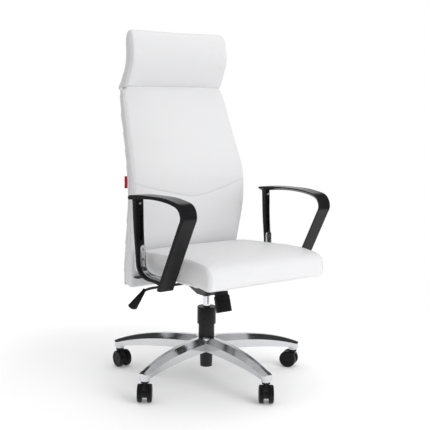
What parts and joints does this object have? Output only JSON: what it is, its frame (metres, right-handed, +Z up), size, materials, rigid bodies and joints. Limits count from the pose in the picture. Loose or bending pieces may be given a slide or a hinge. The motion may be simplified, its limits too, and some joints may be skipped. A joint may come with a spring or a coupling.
{
  "type": "swivel office chair",
  "caption": "High-backed executive swivel chair on a polished star base with twin-wheel casters, loop arms, gas lift and tilt.",
  "frame": {"origin": "on the floor, on the gas-lift column's axis", "axes": "+Z up, the sitter faces -Y, +X is the sitter's left"},
  "size_m": [0.7079, 0.704, 1.2085],
  "materials": {
    "caster_nylon": "moulded, low sheen",
    "bright_steel": "zinc plated",
    "polished_aluminium": "polished die casting",
    "black_steel": "powder coat",
    "black_plastic": "moulded, fine texture",
    "cover_plastic": "moulded, satin",
    "chrome_tube": "mirror",
    "chrome_bracket": "bright plated",
    "plywood": "raw",
    "white_leatherette": "fine grain, soft sheen",
    "dust_cloth": "non-woven",
    "red_tape": "woven tape, blank",
    "arm_nylon": "moulded nylon, satin"
  },
  "bodies": {
    "base": {"base_star": "polished_aluminium", "lift_outer_tube": "black_steel", "lift_guide_bush": "black_plastic", "cover_bottom": "cover_plastic"},
    "cover_middle": {"cover_middle": "cover_plastic"},
    "lift_rod": {"lift_piston_rod": "bright_steel", "lift_thrust_bearing": "bright_steel", "lift_retaining_clip": "bright_steel"},
    "mechanism": {"lift_inner_tube": "chrome_tube", "cover_top": "cover_plastic", "mechanism_housing": "black_steel", "tilt_axle": "bright_steel", "tilt_spring": "bright_steel"},
    "valve": {"lift_valve_pin": "bright_steel"},
    "lever_carrier": {"lever_bush": "black_plastic", "lever_pivot_pin": "bright_steel"},
    "lever": {"lever_rod": "black_steel", "lever_paddle": "black_plastic"},
    "seat": {"mechanism_top_plate": "black_steel", "tension_bolt": "bright_steel", "seat_board": "plywood", "seat_cushion": "white_leatherette", "seat_underside_cover": "dust_cloth", "seat_bolts": "bright_steel", "tee_nuts": "bright_steel", "back_bracket": "black_steel", "back_board": "plywood", "back_rear_cover": "white_leatherette", "back_cushion": "white_leatherette", "back_bolts": "bright_steel", "headrest_cushion": "white_leatherette", "label_tab": "red_tape", "left_arm_loop": "arm_nylon", "right_arm_loop": "arm_nylon", "left_arm_post": "arm_nylon", "right_arm_post": "arm_nylon", "left_arm_bracket": "chrome_bracket", "right_arm_bracket": "chrome_bracket", "arm_bolts": "bright_steel"},
    "knob": {"tension_knob": "black_plastic"},
    "caster_1": {"caster_1_hood": "caster_nylon", "caster_1_pins": "bright_steel"},
    "caster_1_left_wheel": {"caster_1_wheel_left": "caster_nylon"},
    "caster_1_right_wheel": {"caster_1_wheel_right": "caster_nylon"},
    "caster_2": {"caster_2_hood": "caster_nylon", "caster_2_pins": "bright_steel"},
    "caster_2_left_wheel": {"caster_2_wheel_left": "caster_nylon"},
    "caster_2_right_wheel": {"caster_2_wheel_right": "caster_nylon"},
    "caster_3": {"caster_3_hood": "caster_nylon", "caster_3_pins": "bright_steel"},
    "caster_3_left_wheel": {"caster_3_wheel_left": "caster_nylon"},
    "caster_3_right_wheel": {"caster_3_wheel_right": "caster_nylon"},
    "caster_4": {"caster_4_hood": "caster_nylon", "caster_4_pins": "bright_steel"},
    "caster_4_left_wheel": {"caster_4_wheel_left": "caster_nylon"},
    "caster_4_right_wheel": {"caster_4_wheel_right": "caster_nylon"},
    "caster_5": {"caster_5_hood": "caster_nylon", "caster_5_pins": "bright_steel"},
    "caster_5_left_wheel": {"caster_5_wheel_left": "caster_nylon"},
    "caster_5_right_wheel": {"caster_5_wheel_right": "caster_nylon"}
  },
  "joints": [
    {"name": "caster_1_swivel", "type": "hinge", "parent": "base", "child": "caster_1", "pos_m": [0, -0.335, 0.06], "axis": [0, 0, 1], "continuous": true},
    {"name": "caster_1_left_roll", "type": "hinge", "parent": "caster_1", "child": "caster_1_left_wheel", "pos_m": [-0.00882, -0.34714, 0.03], "axis": [0.809, -0.5878, 0], "continuous": true},
    {"name": "caster_1_right_roll", "type": "hinge", "parent": "caster_1", "child": "caster_1_right_wheel", "pos_m": [-0.00882, -0.34714, 0.03], "axis": [0.809, -0.5878, 0], "continuous": true},
    {"name": "caster_2_swivel", "type": "hinge", "parent": "base", "child": "caster_2", "pos_m": [0.3186, -0.10352, 0.06], "axis": [0, 0, 1], "continuous": true},
    {"name": "caster_2_left_roll", "type": "hinge", "parent": "caster_2", "child": "caster_2_left_wheel", "pos_m": [0.31066, -0.0908, 0.03], "axis": [-0.848, -0.5299, 0], "continuous": true},
    {"name": "caster_2_right_roll", "type": "hinge", "parent": "caster_2", "child": "caster_2_right_wheel", "pos_m": [0.31066, -0.0908, 0.03], "axis": [-0.848, -0.5299, 0], "continuous": true},
    {"name": "caster_3_swivel", "type": "hinge", "parent": "base", "child": "caster_3", "pos_m": [0.19691, 0.27102, 0.06], "axis": [0, 0, 1], "continuous": true},
    {"name": "caster_3_left_roll", "type": "hinge", "parent": "caster_3", "child": "caster_3_left_wheel", "pos_m": [0.20441, 0.28401, 0.03], "axis": [-0.866, 0.5, 0], "continuous": true},
    {"name": "caster_3_right_roll", "type": "hinge", "parent": "caster_3", "child": "caster_3_right_wheel", "pos_m": [0.20441, 0.28401, 0.03], "axis": [-0.866, 0.5, 0], "continuous": true},
    {"name": "caster_4_swivel", "type": "hinge", "parent": "base", "child": "caster_4", "pos_m": [-0.19691, 0.27102, 0.06], "axis": [0, 0, 1], "continuous": true},
    {"name": "caster_4_left_roll", "type": "hinge", "parent": "caster_4", "child": "caster_4_left_wheel", "pos_m": [-0.19665, 0.25602, 0.03], "axis": [0.9998, 0.0175, 0], "continuous": true},
    {"name": "caster_4_right_roll", "type": "hinge", "parent": "caster_4", "child": "caster_4_right_wheel", "pos_m": [-0.19665, 0.25602, 0.03], "axis": [0.9998, 0.0175, 0], "continuous": true},
    {"name": "caster_5_swivel", "type": "hinge", "parent": "base", "child": "caster_5", "pos_m": [-0.3186, -0.10352, 0.06], "axis": [0, 0, 1], "continuous": true},
    {"name": "caster_5_left_roll", "type": "hinge", "parent": "caster_5", "child": "caster_5_left_wheel", "pos_m": [-0.32742, -0.11566, 0.03], "axis": [0.809, -0.5878, 0], "continuous": true},
    {"name": "caster_5_right_roll", "type": "hinge", "parent": "caster_5", "child": "caster_5_right_wheel", "pos_m": [-0.32742, -0.11566, 0.03], "axis": [0.809, -0.5878, 0], "continuous": true},
    {"name": "seat_swivel", "type": "hinge", "parent": "base", "child": "lift_rod", "pos_m": [0, 0, 0.045], "axis": [0, 0, 1], "continuous": true},
    {"name": "seat_height", "type": "slide", "parent": "lift_rod", "child": "mechanism", "axis": [0, 0, 1], "range_m": [0, 0.09]},
    {"name": "cover_middle_slide", "type": "slide", "parent": "base", "child": "cover_middle", "axis": [0, 0, 1], "range_m": [0, 0.045]},
    {"name": "valve_press", "type": "slide", "parent": "mechanism", "child": "valve", "axis": [0, 0, -1], "range_m": [0, 0.0051]},
    {"name": "lever_pull", "type": "slide", "parent": "mechanism", "child": "lever_carrier", "axis": [-1, 0, 0], "range_m": [0, 0.012]},
    {"name": "lever_lift", "type": "hinge", "parent": "lever_carrier", "child": "lever", "pos_m": [-0.042, 0.026, 0.336], "axis": [0, 1, 0], "range_deg": [0, 5], "stiffness_Nm_per_rad": 12, "springref_deg": -2.86},
    {"name": "tilt", "type": "hinge", "parent": "mechanism", "child": "seat", "pos_m": [0, 0.04286, 0.34955], "axis": [-1, 0, 0], "range_deg": [0, 12], "stiffness_Nm_per_rad": 250, "springref_deg": -14.32, "deforming": ["tilt_spring"]},
    {"name": "tension_turn", "type": "hinge", "parent": "seat", "child": "knob", "pos_m": [0, -0.104, 0.25], "axis": [0, 0.2874, 0.9578], "range_deg": [-1080, 1080]}
  ],
  "couplings": [
    {"joint": "cover_middle_slide", "follows": "seat_height", "ratio": 0.5},
    {"joint": "valve_press", "follows": "lever_lift", "m_per_rad": 0.058}
  ]
}
